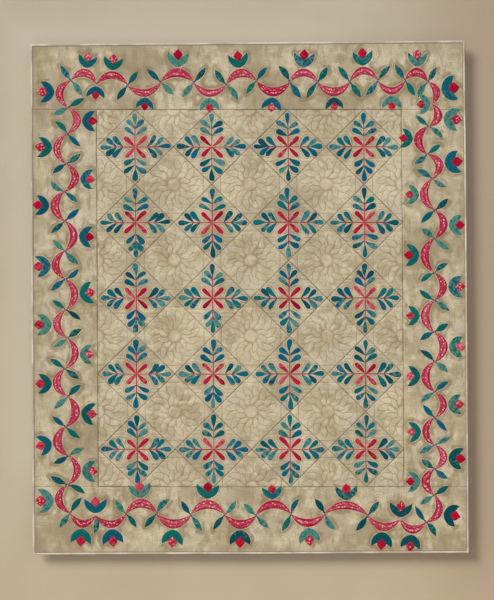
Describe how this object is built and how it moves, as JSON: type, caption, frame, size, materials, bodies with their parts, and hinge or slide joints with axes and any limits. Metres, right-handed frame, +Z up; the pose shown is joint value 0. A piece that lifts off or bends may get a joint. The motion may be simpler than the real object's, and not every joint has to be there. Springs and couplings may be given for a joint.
{
  "type": "quilt on a wall rack",
  "caption": "Pieced and quilted cotton bed quilt hung flat by a rear sleeve and pole on a hidden wooden wall rack.",
  "frame": {"origin": "middle of the wall rack's back face, level with the pole's axis", "axes": "+Z up, +Y into the wall, +X to the right of a person who faces the quilt; the quilt's face looks along -Y"},
  "size_m": [2.083, 0.0607, 2.438],
  "materials": {
    "flower_block_cloth": "cream plain-weave cotton, hand quilted, with teal and red applique",
    "plain_block_cloth": "cream plain-weave cotton, hand quilted",
    "border_cloth": "tan plain-weave cotton, hand quilted, with a red and teal applique vine",
    "binding_cloth": "pale straight-cut cotton binding",
    "backing_cloth": "unbleached cotton muslin",
    "batting_fibre": "thin carded cotton wadding",
    "rack_wood": "oiled pine",
    "pole_wood": "sanded hardwood dowel"
  },
  "bodies": {
    "rack": {"wall_rack": "rack_wood"},
    "pole": {"hanging_pole": "pole_wood"},
    "quilt": {"backing": "backing_cloth", "batting": "batting_fibre", "binding": "binding_cloth", "border_bottom": "border_cloth", "border_left": "border_cloth", "border_right": "border_cloth", "border_top": "border_cloth", "corner_triangle_bottom_left": "plain_block_cloth", "corner_triangle_bottom_right": "plain_block_cloth", "corner_triangle_top_left": "plain_block_cloth", "corner_triangle_top_right": "plain_block_cloth", "flower_block_1_1": "flower_block_cloth", "flower_block_1_2": "flower_block_cloth", "flower_block_1_3": "flower_block_cloth", "flower_block_1_4": "flower_block_cloth", "flower_block_2_1": "flower_block_cloth", "flower_block_2_2": "flower_block_cloth", "flower_block_2_3": "flower_block_cloth", "flower_block_2_4": "flower_block_cloth", "flower_block_3_1": "flower_block_cloth", "flower_block_3_2": "flower_block_cloth", "flower_block_3_3": "flower_block_cloth", "flower_block_3_4": "flower_block_cloth", "flower_block_4_1": "flower_block_cloth", "flower_block_4_2": "flower_block_cloth", "flower_block_4_3": "flower_block_cloth", "flower_block_4_4": "flower_block_cloth", "flower_block_5_1": "flower_block_cloth", "flower_block_5_2": "flower_block_cloth", "flower_block_5_3": "flower_block_cloth", "flower_block_5_4": "flower_block_cloth", "hanging_sleeve": "backing_cloth", "plain_block_1_1": "plain_block_cloth", "plain_block_1_2": "plain_block_cloth", "plain_block_1_3": "plain_block_cloth", "plain_block_2_1": "plain_block_cloth", "plain_block_2_2": "plain_block_cloth", "plain_block_2_3": "plain_block_cloth", "plain_block_3_1": "plain_block_cloth", "plain_block_3_2": "plain_block_cloth", "plain_block_3_3": "plain_block_cloth", "plain_block_4_1": "plain_block_cloth", "plain_block_4_2": "plain_block_cloth", "plain_block_4_3": "plain_block_cloth", "side_triangle_bottom_1": "plain_block_cloth", "side_triangle_bottom_2": "plain_block_cloth", "side_triangle_bottom_3": "plain_block_cloth", "side_triangle_left_1": "plain_block_cloth", "side_triangle_left_2": "plain_block_cloth", "side_triangle_left_3": "plain_block_cloth", "side_triangle_left_4": "plain_block_cloth", "side_triangle_right_1": "plain_block_cloth", "side_triangle_right_2": "plain_block_cloth", "side_triangle_right_3": "plain_block_cloth", "side_triangle_right_4": "plain_block_cloth", "side_triangle_top_1": "plain_block_cloth", "side_triangle_top_2": "plain_block_cloth", "side_triangle_top_3": "plain_block_cloth"}
  },
  "joints": [
    {"name": "pole_lift", "type": "slide", "parent": "rack", "child": "pole", "axis": [0, 0, 1], "range_m": [0, 0.02]},
    {"name": "quilt_swing", "type": "hinge", "parent": "pole", "child": "quilt", "pos_m": [0, -0.038, 0], "axis": [-1, 0, 0], "range_deg": [0, 20]}
  ]
}
